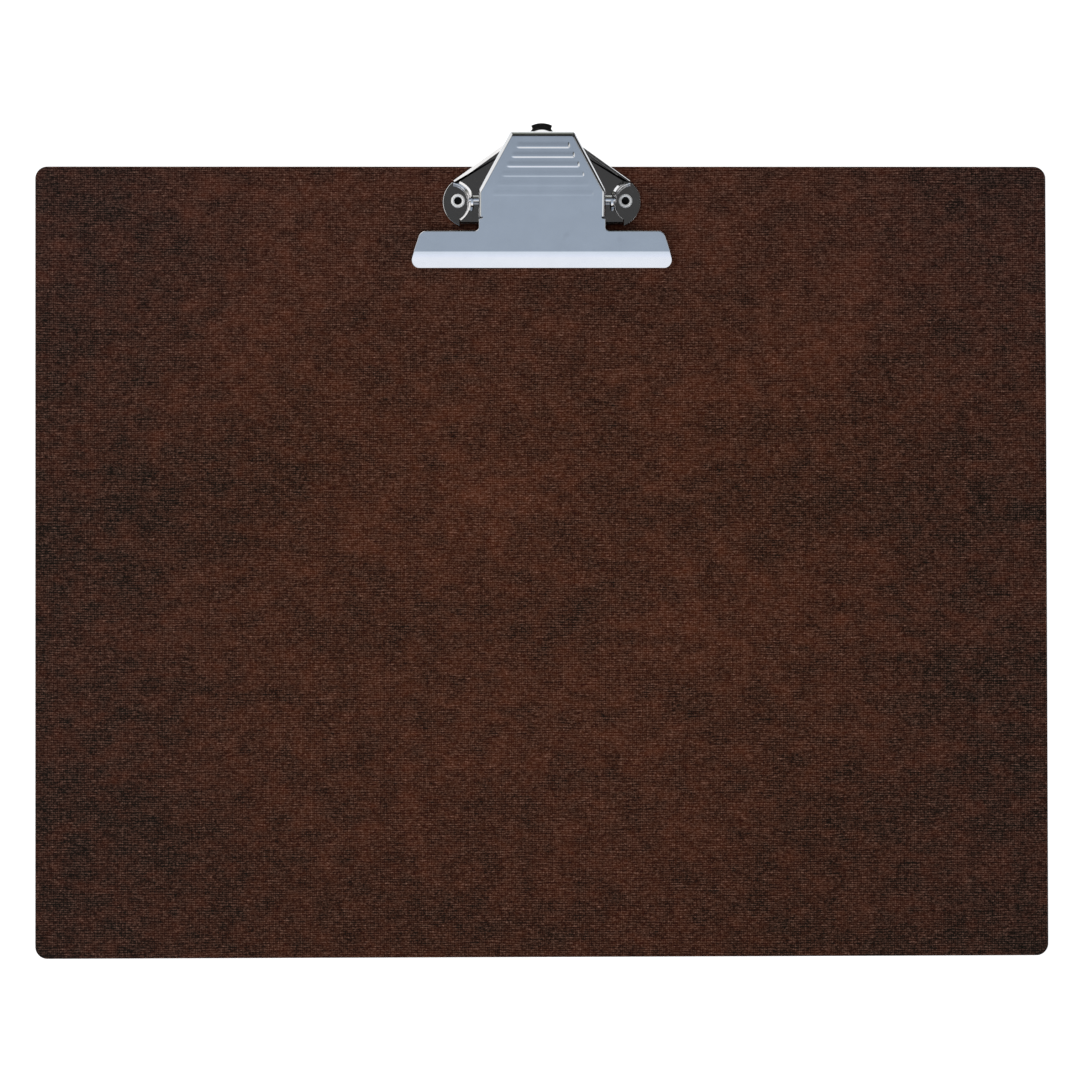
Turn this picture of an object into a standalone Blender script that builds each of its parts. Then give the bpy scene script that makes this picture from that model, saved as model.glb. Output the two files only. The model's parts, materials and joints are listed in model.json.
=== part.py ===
"""Landscape hardboard clipboard with a sprung lever clip riveted to its long edge.

Frame, in metres: the board lies flat with its back face on Z = 0, centred on the origin. +X runs
along the long edges, +Y points to the edge that holds the clip, and +Z points out of the front.
The clip is drawn from the middle of that edge, at y = 0, and moved there by CLIP.
"""

from math import atan2, cos, degrees, pi, radians, sin, tan

import bmesh
import bpy
from mathutils import Matrix, Vector

MM = 0.001

# Board
BOARD_WIDTH = 395 * MM
BOARD_HEIGHT = 308.6 * MM
BOARD_THICKNESS = 3.2 * MM
BOARD_CORNER_RADIUS = 4.7 * MM

# Fits
GAP = 0.3 * MM  # between faces that touch on the real object
SHEET = 0.9 * MM  # thickness of both pressed plates

# Base plate: wings, raised middle and ears, measured from the middle of the board's edge
WING_CENTER = (28.6 * MM, -14.0 * MM)
WING_RADIUS = 10.0 * MM
WING_END_ANGLE = -69  # degrees, where the wing's round end meets the front edge
FLOOR_TOP = 7.4 * MM
FLOOR_FRONT_Y = -23.2 * MM
FLOOR_END_Y = 13.0 * MM
STEP_CENTER = (36.0 * MM, -14.7 * MM)  # the round step between wing and raised middle
STEP_RADIUS = 7.4 * MM
STEP_ANGLES = (237, 101)  # degrees, from its front end to its rear end
SIDE_SLOPE = 35.8  # degrees between the tapered sides and the board's edge
EAR_ANGLES = (200, 116)  # the part of the raised middle's rim that is turned up as the ear
EAR_RADIUS = STEP_RADIUS + 1.0 * MM  # of its outer face
EAR_TIP_RADIUS = 3.4 * MM
EAR_TIP_ANGLES = (40, 165)
EAR_FRONT_Y = -17.4 * MM
EAR_REAR_Y = -6.4 * MM
TONGUE_HALF_ROOT = 4.6 * MM
TONGUE_HALF_NECK = 3.55 * MM
TONGUE_HALF_HEAD = 4.1 * MM
TONGUE_NECK_Y = 14.35 * MM
TONGUE_HEAD_Y = 15.6 * MM
TONGUE_TIP_Y = 16.65 * MM
HANG_HOLE_RADIUS = 6.0 * MM
HANG_HOLE_Y = 8.0 * MM

# Hinge
PIN_RADIUS = 1.4 * MM
PIN_Y = -13.5 * MM
PIN_Z = 11.4 * MM
PIN_HEAD_RADIUS = 1.9 * MM
PIN_HEAD_HEIGHT = 0.6 * MM

# Lever: outer faces of the bent sheet, as (y, z) points, and the plan of its T
LIP_EDGE = (-39.9 * MM, 4.2 * MM)
LIP_BEND = (-33.8 * MM, 9.0 * MM)
LEVER_END_Y = 11.4 * MM
FACE_SLOPE = 20  # degrees, rising to the finger end
LEVER_HALF_END = 12.2 * MM
LEVER_HALF_WAIST = 24.6 * MM
LEVER_WAIST_Y = -10.5 * MM
SKIRT_FRONT_Y = -20.6 * MM
SKIRT_BOSS_RADIUS = 3.2 * MM
SKIRT_BOSS_START = 190  # degrees, where the front edge meets the round about the pin
SKIRT_EDGE_SLOPE = 27.5
ARM_TOP_Y = -26.1 * MM
ARM_HALF_TOP = 47.3 * MM
ARM_HALF_BEND = 49.9 * MM
ARM_HALF_LIP = 51.9 * MM
LIP_CORNER_RADIUS = 2.9 * MM
NECK_FILLET = 1.6 * MM
END_FILLET = 1.5 * MM
LIP_BEND_RADIUS = 1.5 * MM
RIB_COUNT = 6
RIB_PITCH = 3.55 * MM
RIB_FIRST_Y = 5.6 * MM
RIB_HALF_FIRST = 10.7 * MM
RIB_HALF_STEP = 1.88 * MM  # each rib is this much longer on each side than the one before
RIB_HALF_WIDTH = 0.9 * MM
RIB_HEIGHT = 0.4 * MM

# Torsion spring
WIRE_RADIUS = 0.8 * MM
COIL_RADIUS = 2.7 * MM  # axis of the coil to the middle of the wire
COIL_INNER_X = 5.4 * MM
COIL_PITCH = 1.75 * MM
COIL_TURNS = 4
COIL_STEPS = 18
LEG_LENGTH = 13.0 * MM  # from the axis to the end that rests on the base plate
BAIL_LENGTH = 11.0 * MM
BAIL_SLOPE = 20  # degrees, just under the lever's face

# Rivets
RIVET_X = 32.7 * MM
RIVET_Y = -13.6 * MM
RIVET_SHANK_RADIUS = 1.95 * MM
RIVET_BORE_RADIUS = 1.45 * MM
RIVET_BORE_FLOOR = 2.5 * MM
RIVET_RIM_RADIUS = 2.7 * MM
RIVET_RIM_HEIGHT = 0.8 * MM
RIVET_HEAD_RADIUS = 4.0 * MM
RIVET_HEAD_BACK = 0.1 * MM
RIVET_HEAD_HEIGHT = 0.9 * MM

EDGE_Y = BOARD_HEIGHT / 2
CLIP = Matrix.Translation((0, EDGE_Y, 0))
WING_BOTTOM = BOARD_THICKNESS + GAP
WING_TOP = WING_BOTTOM + SHEET
ALONG_X = Matrix(((0, 0, 1, 0), (1, 0, 0, 0), (0, 1, 0, 0), (0, 0, 0, 1)))  # draws (y, z), extrudes x

for leftover in list(bpy.data.objects):
    bpy.data.objects.remove(leftover)


def new_collection(name):
    collection = bpy.data.collections.new(name)
    bpy.context.scene.collection.children.link(collection)
    return collection


parts = new_collection("clipboard")
cutters = new_collection("cutters")


def material(name, color, roughness, metallic):
    made = bpy.data.materials.new(name)
    made.use_nodes = True
    shader = made.node_tree.nodes["Principled BSDF"]
    shader.inputs["Base Color"].default_value = (*color, 1)
    shader.inputs["Roughness"].default_value = roughness
    shader.inputs["Metallic"].default_value = metallic
    return made


def arc(center, radius, start, end, steps):
    """Points on a circle from the start to the end angle in degrees, both included."""
    angles = [radians(start + (end - start) * i / steps) for i in range(steps + 1)]
    return [(center[0] + radius * cos(a), center[1] + radius * sin(a)) for a in angles]


def fillet(before, corner, after, radius, steps=6):
    """The corner's round: an arc of this radius that touches both sides."""
    corner = Vector(corner)
    to_before = (Vector(before) - corner).normalized()
    to_after = (Vector(after) - corner).normalized()
    half = to_before.angle(to_after) / 2
    middle = corner + (to_before + to_after).normalized() * radius / sin(half)
    first = corner + to_before * radius / tan(half) - middle
    last = corner + to_after * radius / tan(half) - middle
    start = atan2(first.y, first.x)
    turn = (atan2(last.y, last.x) - start + pi) % (2 * pi) - pi
    return arc(middle, radius, degrees(start), degrees(start + turn), steps)


def mirrored(half):
    """A closed outline from its right half, whose first and last points lie near x = 0."""
    return half + [(-x, y) for x, y in reversed(half)]


def as_cutter(piece):
    """Moves a construction solid out of the parts and shows it as wire."""
    parts.objects.unlink(piece)
    cutters.objects.link(piece)
    piece.hide_render = True
    piece.display_type = "WIRE"
    return piece


def object_from(name, mesh, placed=None):
    made = bpy.data.objects.new(name, mesh)
    parts.objects.link(made)
    made.matrix_world = placed if placed else Matrix.Identity(4)
    return made


def meshed(drawn, name):
    """Turns a curve object into a closed mesh object in the same place."""
    bpy.context.view_layer.update()
    evaluated = drawn.evaluated_get(bpy.context.evaluated_depsgraph_get())
    mesh = bpy.data.meshes.new_from_object(evaluated)
    placed = drawn.matrix_world.copy()
    bpy.data.objects.remove(drawn)
    work = bmesh.new()
    work.from_mesh(mesh)
    bmesh.ops.remove_doubles(work, verts=work.verts, dist=0.001 * MM)
    bmesh.ops.recalc_face_normals(work, faces=work.faces)
    work.to_mesh(mesh)
    work.free()
    mesh.name = name
    return object_from(name, mesh, placed)


def prism(name, outline, low, high, placed=CLIP):
    """A flat outline with this thickness, from low to high along its own normal."""
    curve = bpy.data.curves.new(name, "CURVE")
    curve.dimensions = "2D"
    curve.fill_mode = "BOTH"
    curve.extrude = (high - low) / 2
    spline = curve.splines.new("POLY")
    spline.points.add(len(outline) - 1)
    for point, (u, v) in zip(spline.points, outline):
        point.co = (u, v, 0, 1)
    spline.use_cyclic_u = True
    drawn = bpy.data.objects.new(name + "_outline", curve)
    parts.objects.link(drawn)
    drawn.matrix_world = placed @ Matrix.Translation((0, 0, (low + high) / 2))
    return meshed(drawn, name)


def cylinder(name, radius, length, placed, sides=28):
    """A cylinder along its own Z, centred on its origin."""
    bpy.ops.mesh.primitive_cylinder_add(vertices=sides, radius=radius, depth=length)
    made = bpy.context.object
    made.name = name
    for holder in list(made.users_collection):
        holder.objects.unlink(made)
    parts.objects.link(made)
    made.matrix_world = placed
    return made


def boolean(piece, operation, other, solver="EXACT"):
    modifier = piece.modifiers.new(other.name, "BOOLEAN")
    modifier.operation = operation
    modifier.solver = solver
    modifier.object = as_cutter(other)


def solidify(piece, thickness, offset):
    modifier = piece.modifiers.new("sheet", "SOLIDIFY")
    modifier.thickness = thickness
    modifier.offset = offset
    modifier.use_even_offset = True


def turned(name, profile, steps=28):
    """A closed turned solid from (radius, height) points that start and end on the axis."""
    mesh = bpy.data.meshes.new(name)
    points = [(r, 0, z) for r, z in profile]
    mesh.from_pydata(points, [(i, i + 1) for i in range(len(points) - 1)], [])
    made = object_from(name, mesh)
    screw = made.modifiers.new("turn", "SCREW")
    screw.steps = steps
    screw.render_steps = steps
    screw.use_merge_vertices = True
    screw.merge_threshold = 0.00001
    return made


def smooth(piece, slot):
    piece.data.materials.clear()
    piece.data.materials.append(slot)
    piece.data.shade_smooth()
    piece.data.set_sharp_from_angle(angle=radians(30))
    return piece


def face_height(y):
    """Height of the lever's outer face over a point this far from the board's edge."""
    return LIP_BEND[1] + (y - LIP_BEND[0]) * tan(radians(FACE_SLOPE))


def rivet_place(side, z):
    return CLIP @ Matrix.Translation((side * RIVET_X, RIVET_Y, z))


def pin_place(x):
    return CLIP @ Matrix.Translation((x, PIN_Y, PIN_Z)) @ Matrix.Rotation(pi / 2, 4, "Y")


def make_board():
    """Hardboard sheet with two rivet holes, each sunk at the back for the rivet's head."""
    x = BOARD_WIDTH / 2
    y = BOARD_HEIGHT / 2
    corners = [(x, -y), (x, y), (-x, y), (-x, -y)]
    outline = []
    for i, corner in enumerate(corners):
        after = corners[(i + 1) % len(corners)]
        outline += fillet(corners[i - 1], corner, after, BOARD_CORNER_RADIUS, 8)
    board = prism("board", outline, 0, BOARD_THICKNESS, Matrix.Identity(4))
    recess = RIVET_HEAD_BACK + RIVET_HEAD_HEIGHT + GAP
    for side, word in ((-1, "left"), (1, "right")):
        hole = cylinder("board_hole_" + word, RIVET_SHANK_RADIUS + GAP, 10 * MM, rivet_place(side, 0))
        sink = cylinder("board_sink_" + word, RIVET_HEAD_RADIUS + GAP, 2 * recess, rivet_place(side, 0))
        boolean(board, "DIFFERENCE", hole)
        boolean(board, "DIFFERENCE", sink)
    return smooth(board, material("hardboard", (0.055, 0.022, 0.014), 0.62, 0))


def raised_outline():
    """Plan of the raised middle: straight front, round steps beside the wings, tapered sides."""
    slope = radians(SIDE_SLOPE)
    touch_x = WING_CENTER[0] + WING_RADIUS * sin(slope)
    touch_y = WING_CENTER[1] + WING_RADIUS * cos(slope)
    end_x = touch_x - (FLOOR_END_Y - touch_y) / tan(slope)
    step = arc(STEP_CENTER, STEP_RADIUS, STEP_ANGLES[0], STEP_ANGLES[1], 14)
    front = (step[0][0], FLOOR_FRONT_Y)
    return mirrored([front, *step, (touch_x, touch_y), (end_x, FLOOR_END_Y)])


def make_raised_middle():
    """Upside-down tray: the raised floor with its front, steps and sides turned down."""
    outline = raised_outline()
    shell = bmesh.new()
    rim = [shell.verts.new((x, y, FLOOR_TOP)) for x, y in outline]
    shell.faces.new(rim)
    walls = [e for e in shell.edges if min(v.co.y for v in e.verts) < FLOOR_END_Y - GAP]
    made = bmesh.ops.extrude_edge_only(shell, edges=walls)["geom"]
    foot = [v for v in made if isinstance(v, bmesh.types.BMVert)]
    bmesh.ops.translate(shell, verts=foot, vec=(0, 0, WING_BOTTOM - FLOOR_TOP))
    bmesh.ops.recalc_face_normals(shell, faces=shell.faces)
    flat = next(f for f in shell.faces if len(f.verts) > 4)
    if flat.normal.z < 0:
        bmesh.ops.reverse_faces(shell, faces=shell.faces)
    mesh = bpy.data.meshes.new("base_plate")
    shell.to_mesh(mesh)
    shell.free()
    middle = object_from("base_plate", mesh, CLIP)
    solidify(middle, SHEET, -1)
    return middle


def make_wing(side):
    """Flat wing on the board: round outside, and inside it ends within the step's wall."""
    slope = radians(SIDE_SLOPE)
    outside = arc(WING_CENTER, WING_RADIUS, 90 - SIDE_SLOPE, WING_END_ANGLE, 22)
    start, end = STEP_ANGLES
    inside = arc(STEP_CENTER, STEP_RADIUS + SHEET / 2, start, end, 14)
    inner_x = inside[0][0]
    inner_end = (outside[0][0] - SHEET * sin(slope) / 2, outside[0][1] - SHEET * cos(slope) / 2)
    points = [*outside, (inner_x, FLOOR_FRONT_Y + SHEET / 2), *inside, inner_end]
    name = "wing_left" if side < 0 else "wing_right"
    return prism(name, [(side * x, y) for x, y in points], WING_BOTTOM, WING_TOP)


def make_ear(side):
    """Upright ear along the step, with a round tip about the pin."""
    inner = arc(STEP_CENTER, EAR_RADIUS, EAR_ANGLES[0], EAR_ANGLES[1], 12)
    outer = arc(STEP_CENTER, EAR_RADIUS + SHEET, EAR_ANGLES[1], EAR_ANGLES[0], 12)
    name = "ear_left" if side < 0 else "ear_right"
    low = FLOOR_TOP - SHEET / 2
    ear = prism(name, [(side * x, y) for x, y in inner + outer], low, PIN_Z + 2 * EAR_TIP_RADIUS)
    tip = arc((PIN_Y, PIN_Z), EAR_TIP_RADIUS, *EAR_TIP_ANGLES, 12)
    profile = [(EAR_FRONT_Y, 0), (EAR_REAR_Y, 0), (EAR_REAR_Y, FLOOR_TOP), *tip]
    profile += [(EAR_FRONT_Y, FLOOR_TOP + GAP)]
    middle = side * RIVET_X
    shape = prism(name + "_profile", profile, middle - EAR_RADIUS, middle + EAR_RADIUS, CLIP @ ALONG_X)
    boolean(ear, "INTERSECT", shape)
    return ear


def make_tongue():
    """Small tongue past the finger end, with a waist and a round head."""
    head_reach = TONGUE_TIP_Y - TONGUE_HEAD_Y
    radius = (TONGUE_HALF_HEAD**2 + head_reach**2) / (2 * head_reach)
    spread = degrees(atan2(TONGUE_HALF_HEAD, radius - head_reach))
    head = arc((0, TONGUE_TIP_Y - radius), radius, 90 - spread, 90 + spread, 10)
    right = [(TONGUE_HALF_ROOT, FLOOR_END_Y), (TONGUE_HALF_NECK, TONGUE_NECK_Y)]
    left = [(-x, y) for x, y in reversed(right)]
    root = [(-TONGUE_HALF_ROOT, FLOOR_END_Y - SHEET), (TONGUE_HALF_ROOT, FLOOR_END_Y - SHEET)]
    return prism("tongue", [*root, *right, *head, *left], FLOOR_TOP - SHEET, FLOOR_TOP)


def make_base_plate():
    """One pressed plate with its wings, ears and tongue."""
    base = make_raised_middle()
    added = [make_wing(-1), make_wing(1), make_ear(-1), make_ear(1), make_tongue()]
    for piece in added:
        boolean(base, "UNION", piece, "MANIFOLD")
    cut = [cylinder("ear_holes", PIN_RADIUS + GAP, 70 * MM, pin_place(0))]
    for side, word in ((-1, "left"), (1, "right")):
        place = rivet_place(side, WING_TOP)
        cut.append(cylinder("wing_hole_" + word, RIVET_SHANK_RADIUS + GAP, 5 * MM, place))
    hang_place = CLIP @ Matrix.Translation((0, HANG_HOLE_Y, FLOOR_TOP))
    cut.append(cylinder("hang_hole", HANG_HOLE_RADIUS, 5 * MM, hang_place, 36))
    for piece in cut:
        boolean(base, "DIFFERENCE", piece, "MANIFOLD")
    return smooth(base, material("polished_plate", (0.62, 0.62, 0.63), 0.12, 1))


def lever_plan():
    """Plan of the lever: a T whose stem tapers to the finger end and whose bar is the jaw."""
    end = (LEVER_HALF_END, LEVER_END_Y)
    waist = (LEVER_HALF_WAIST, LEVER_WAIST_Y)
    inner = (LEVER_HALF_WAIST, ARM_TOP_Y)
    shoulder = (ARM_HALF_TOP, ARM_TOP_Y)
    bend = (ARM_HALF_BEND, LIP_BEND[0])
    lip = (ARM_HALF_LIP, LIP_EDGE[0])
    half = [
        *fillet((0, LIP_EDGE[0]), lip, bend, LIP_CORNER_RADIUS),
        bend,
        *fillet(bend, shoulder, inner, LIP_CORNER_RADIUS),
        *fillet(shoulder, inner, waist, NECK_FILLET),
        waist,
        *fillet(waist, end, (0, LEVER_END_Y), END_FILLET),
    ]
    return mirrored(half)


def make_bent_sheet():
    """The lever's face and lip as one bent sheet, cut to the T's plan."""
    face_end = (LEVER_END_Y, face_height(LEVER_END_Y))
    bend = fillet(LIP_EDGE, LIP_BEND, face_end, LIP_BEND_RADIUS, 4)
    line = [LIP_EDGE, *bend, face_end]
    sheet = bmesh.new()
    left = [sheet.verts.new((-ARM_HALF_LIP - SHEET, y, z)) for y, z in line]
    edges = [sheet.edges.new(pair) for pair in zip(left, left[1:])]
    made = bmesh.ops.extrude_edge_only(sheet, edges=edges)["geom"]
    right = [v for v in made if isinstance(v, bmesh.types.BMVert)]
    bmesh.ops.translate(sheet, verts=right, vec=(2 * (ARM_HALF_LIP + SHEET), 0, 0))
    bmesh.ops.recalc_face_normals(sheet, faces=sheet.faces)
    sheet.faces.ensure_lookup_table()
    if sheet.faces[0].normal.z < 0:
        bmesh.ops.reverse_faces(sheet, faces=sheet.faces)
    mesh = bpy.data.meshes.new("lever_plate")
    sheet.to_mesh(mesh)
    sheet.free()
    lever = object_from("lever_plate", mesh, CLIP)
    solidify(lever, SHEET, -1)
    boolean(lever, "INTERSECT", prism("lever_plan", lever_plan(), 0, 40 * MM))
    return lever


def make_skirt():
    """Turned-down sides and finger end of the lever, deepest around the pin."""
    sides = [(LEVER_HALF_WAIST, SKIRT_FRONT_Y), (LEVER_HALF_WAIST, LEVER_WAIST_Y)]
    path = [*sides, (LEVER_HALF_END, LEVER_END_Y)]
    path += [(-x, y) for x, y in reversed(path)]
    wall = bmesh.new()
    low = [wall.verts.new((x, y, WING_TOP)) for x, y in path]
    edges = [wall.edges.new(pair) for pair in zip(low, low[1:])]
    made = bmesh.ops.extrude_edge_only(wall, edges=edges)["geom"]
    high = [v for v in made if isinstance(v, bmesh.types.BMVert)]
    bmesh.ops.translate(wall, verts=high, vec=(0, 0, 26 * MM))
    bmesh.ops.recalc_face_normals(wall, faces=wall.faces)
    outward = max(wall.faces, key=lambda f: f.calc_center_median().x).normal.x > 0
    mesh = bpy.data.meshes.new("skirt")
    wall.to_mesh(mesh)
    wall.free()
    skirt = object_from("skirt", mesh, CLIP)
    solidify(skirt, SHEET, -1 if outward else 1)
    slope = radians(SKIRT_EDGE_SLOPE)
    reach = LEVER_END_Y + SHEET - PIN_Y
    edge_end_z = PIN_Z - SKIRT_BOSS_RADIUS / cos(slope) + reach * tan(slope)
    boss = arc((PIN_Y, PIN_Z), SKIRT_BOSS_RADIUS, SKIRT_BOSS_START, 270 + SKIRT_EDGE_SLOPE, 10)
    under = SHEET / 2
    profile = [
        (SKIRT_FRONT_Y - GAP, face_height(SKIRT_FRONT_Y) - under),
        (SKIRT_FRONT_Y - GAP, face_height(SKIRT_FRONT_Y) - 2 * SHEET),
        *boss,
        (PIN_Y + reach, edge_end_z),
        (PIN_Y + reach, face_height(PIN_Y + reach) - under),
    ]
    half = ARM_HALF_LIP
    boolean(skirt, "INTERSECT", prism("skirt_profile", profile, -half, half, CLIP @ ALONG_X))
    return skirt


def make_rib(index):
    """One embossed grip rib, a low bar with round ends on the lever's face."""
    y = RIB_FIRST_Y - index * RIB_PITCH
    half = RIB_HALF_FIRST + index * RIB_HALF_STEP - RIB_HALF_WIDTH
    outline = arc((half, 0), RIB_HALF_WIDTH, -90, 90, 4) + arc((-half, 0), RIB_HALF_WIDTH, 90, 270, 4)
    on_face = Matrix.Translation((0, y, face_height(y))) @ Matrix.Rotation(radians(FACE_SLOPE), 4, "X")
    return prism(f"rib_{index + 1}", outline, -SHEET / 2, RIB_HEIGHT, CLIP @ on_face)


def make_lever_plate():
    lever = make_bent_sheet()
    boolean(lever, "UNION", make_skirt())
    for index in range(RIB_COUNT):
        boolean(lever, "UNION", make_rib(index))
    boolean(lever, "DIFFERENCE", cylinder("lever_holes", PIN_RADIUS + GAP, 60 * MM, pin_place(0)))
    axis_point = Vector((0, PIN_Y, PIN_Z))
    lever.data.transform(Matrix.Translation(-axis_point))
    lever.location = CLIP @ axis_point
    return smooth(lever, material("satin_plate", (0.60, 0.63, 0.67), 0.28, 1))


def make_hinge_pin():
    """Pin along X with a low domed head outside each ear, clear of the ear's curved face."""
    ear_face = STEP_CENTER[0] - EAR_RADIUS + 3 * GAP
    dome = arc((0, 0), 1, 0, 90, 4)
    top = [(PIN_HEAD_RADIUS * u, ear_face + PIN_HEAD_HEIGHT * v) for u, v in reversed(dome)]
    top[0] = (0, ear_face + PIN_HEAD_HEIGHT)
    half = [*top, (PIN_RADIUS, ear_face)]
    profile = half + [(r, -h) for r, h in reversed(half)]
    pin = turned("hinge_pin", profile, 24)
    pin.matrix_world = pin_place(0)
    return smooth(pin, material("pin_steel", (0.55, 0.55, 0.56), 0.2, 1))


def half_spring():
    """Right half of the wire, from the leg on the base plate to the middle of the bail."""
    sweep = 270 - (90 + BAIL_SLOPE) + 360 * COIL_TURNS
    outer_x = COIL_INNER_X + COIL_PITCH * sweep / 360
    route = [(outer_x, LEG_LENGTH, FLOOR_TOP + GAP + WIRE_RADIUS - PIN_Z)]
    steps = round(COIL_STEPS * sweep / 360)
    for i in range(steps + 1):
        angle = radians(270 - sweep * i / steps)
        x = outer_x - COIL_PITCH * sweep / 360 * i / steps
        route.append((x, COIL_RADIUS * cos(angle), COIL_RADIUS * sin(angle)))
    slope = radians(BAIL_SLOPE)
    bend = 2 * WIRE_RADIUS
    x, y, z = route[-1]
    for along, across in arc((0, 0), bend, 0, 90, 4):
        run = BAIL_LENGTH - bend + across
        inward = bend - along
        route.append((x - inward, y + run * cos(slope), z + run * sin(slope)))
    return route


def make_torsion_spring():
    """Double torsion spring: a leg, a coil, the bail under the lever, a coil and a leg."""
    right = half_spring()
    route = right + [(-x, y, z) for x, y, z in reversed(right)]
    curve = bpy.data.curves.new("torsion_spring", "CURVE")
    curve.dimensions = "3D"
    curve.bevel_depth = WIRE_RADIUS
    curve.bevel_resolution = 2
    curve.use_fill_caps = True
    spline = curve.splines.new("POLY")
    spline.points.add(len(route) - 1)
    for point, place in zip(spline.points, route):
        point.co = (*place, 1)
    drawn = bpy.data.objects.new("torsion_spring_wire", curve)
    parts.objects.link(drawn)
    drawn.matrix_world = CLIP @ Matrix.Translation((0, PIN_Y, PIN_Z))
    spring = meshed(drawn, "torsion_spring")
    return smooth(spring, material("spring_steel", (0.40, 0.40, 0.41), 0.3, 1))


def make_rivet(side):
    """Semi-tubular rivet: flat head at the back, blind bore and rolled rim at the front."""
    rim_bottom = WING_TOP + GAP
    roll = (RIVET_RIM_RADIUS - RIVET_BORE_RADIUS) / 2
    middle = (RIVET_BORE_RADIUS + roll, rim_bottom + RIVET_RIM_HEIGHT - roll)
    head_top = RIVET_HEAD_BACK + RIVET_HEAD_HEIGHT
    profile = [
        (0, RIVET_BORE_FLOOR),
        (RIVET_BORE_RADIUS, RIVET_BORE_FLOOR),
        *arc(middle, roll, 180, 0, 6),
        (RIVET_RIM_RADIUS, rim_bottom),
        (RIVET_SHANK_RADIUS, rim_bottom),
        (RIVET_SHANK_RADIUS, head_top),
        (RIVET_HEAD_RADIUS, head_top),
        (RIVET_HEAD_RADIUS, RIVET_HEAD_BACK),
        (0, RIVET_HEAD_BACK),
    ]
    rivet = turned("rivet_left" if side < 0 else "rivet_right", profile)
    rivet.matrix_world = rivet_place(side, 0)
    return rivet


def make_rivets():
    metal = material("rivet_nickel", (0.66, 0.66, 0.67), 0.18, 1)
    for side in (-1, 1):
        smooth(make_rivet(side), metal)


make_board()
make_base_plate()
make_lever_plate()
make_hinge_pin()
make_torsion_spring()
make_rivets()
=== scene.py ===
"""Looks of the landscape clipboard: the pressed clip, the hardboard, their materials, light and camera.

Lengths are in metres in the shared frame. The clip is drawn with y measured from the board's edge
that holds it, and placed there by CLIP. Every piece's mesh lies in that frame, its origin at zero.
"""

import json
from math import atan2, cos, degrees, pi, radians, sin, sqrt, tan

import bmesh
import bpy
import numpy as np
from mathutils import Matrix, Vector
from mathutils.geometry import tessellate_polygon


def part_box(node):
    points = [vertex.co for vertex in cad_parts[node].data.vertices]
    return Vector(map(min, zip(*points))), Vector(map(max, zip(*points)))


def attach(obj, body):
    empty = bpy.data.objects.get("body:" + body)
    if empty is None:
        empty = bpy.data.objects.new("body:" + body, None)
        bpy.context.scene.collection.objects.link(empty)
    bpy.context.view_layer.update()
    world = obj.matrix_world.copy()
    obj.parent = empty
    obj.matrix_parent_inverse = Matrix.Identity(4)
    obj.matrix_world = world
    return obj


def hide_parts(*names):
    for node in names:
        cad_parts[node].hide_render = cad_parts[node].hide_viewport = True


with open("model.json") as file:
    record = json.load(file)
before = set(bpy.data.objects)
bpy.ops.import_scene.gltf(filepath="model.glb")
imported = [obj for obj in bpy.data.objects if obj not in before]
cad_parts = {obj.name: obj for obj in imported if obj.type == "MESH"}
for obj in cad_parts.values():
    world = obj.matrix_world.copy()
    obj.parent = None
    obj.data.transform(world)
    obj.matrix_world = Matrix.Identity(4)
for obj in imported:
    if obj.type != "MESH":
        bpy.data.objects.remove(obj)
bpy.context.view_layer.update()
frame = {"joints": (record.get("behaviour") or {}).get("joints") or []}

MM = 0.001

BOARD_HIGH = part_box("board")[1]
EDGE_Y = BOARD_HIGH.y
FRONT_Z = BOARD_HIGH.z
HINGE = Vector(frame["joints"][0]["pos_m"])
CLIP = Matrix.Translation((0, EDGE_Y, 0))
SHEET = 0.9 * MM
GAP = 0.3 * MM  # air between neighbouring parts
TINY = 0.001 * MM
JOINED = 0.002 * MM  # points nearer than this are one point
FAR = 20 * MM

# Board
BOARD_CORNER_RADIUS = 4.7 * MM
BOARD_EDGE_ROUND = 0.45 * MM

# Rivets, measured in the clip's drawing
RIVET_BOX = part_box("rivet_right")
RIVET_X = (RIVET_BOX[0].x + RIVET_BOX[1].x) / 2
RIVET_Y = (RIVET_BOX[0].y + RIVET_BOX[1].y) / 2 - EDGE_Y
RIVET_SHANK = 1.95 * MM
RIVET_BORE = 1.45 * MM
RIVET_BORE_FLOOR = 2.5 * MM
RIVET_RIM = 2.7 * MM
RIVET_RIM_HEIGHT = 0.8 * MM
RIVET_HEAD = 4.0 * MM
RIVET_HEAD_BACK = 0.1 * MM
RIVET_HEAD_HEIGHT = 0.9 * MM

# Base plate
WING_TOP = FRONT_Z + GAP + SHEET
WING_CENTER = (28.6 * MM, -14.0 * MM)
WING_RADIUS = 10.0 * MM
WING_END_ANGLE = -69
WING_START_BACK = 3  # degrees between the flange's end and the wing's free edge
FLOOR_TOP = 7.4 * MM
FLOOR_FRONT_Y = -23.2 * MM
FLOOR_END_Y = 13.0 * MM
STEP_CENTER = (36.0 * MM, -14.7 * MM)
STEP_RADIUS = 7.4 * MM
STEP_ANGLES = (237, 101)
STEP_BEND = 0.8 * MM
STEP_FOOT = 0.3 * MM
EAR_CREASE = 0.2 * MM
EAR_LEAST = 0.1 * MM  # the ear's least height above its crease
EAR_ANGLES = (200, 116)
EAR_RADIUS = STEP_RADIUS + 1.0 * MM
EAR_TIP_RADIUS = 3.4 * MM
EAR_TIP_ANGLES = (165, 40)
EAR_FRONT_Y = -17.4 * MM
EAR_REAR_Y = -6.4 * MM
SIDE_SLOPE = 35.8
SIDE_BEND = (2.2 * MM, 0, 50)  # radius, and the slopes in degrees where the bend starts and ends
FRONT_BEND = (3.4 * MM, 42, 90)
CUT_EDGE = 0.24 * MM  # width of the dulled edge round each wing and round the arms
EDGE_ROUND = 0.2 * MM
SHARP = 60  # degrees between the faces of an edge that may be dulled
SLIT = 0.25 * MM
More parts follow.
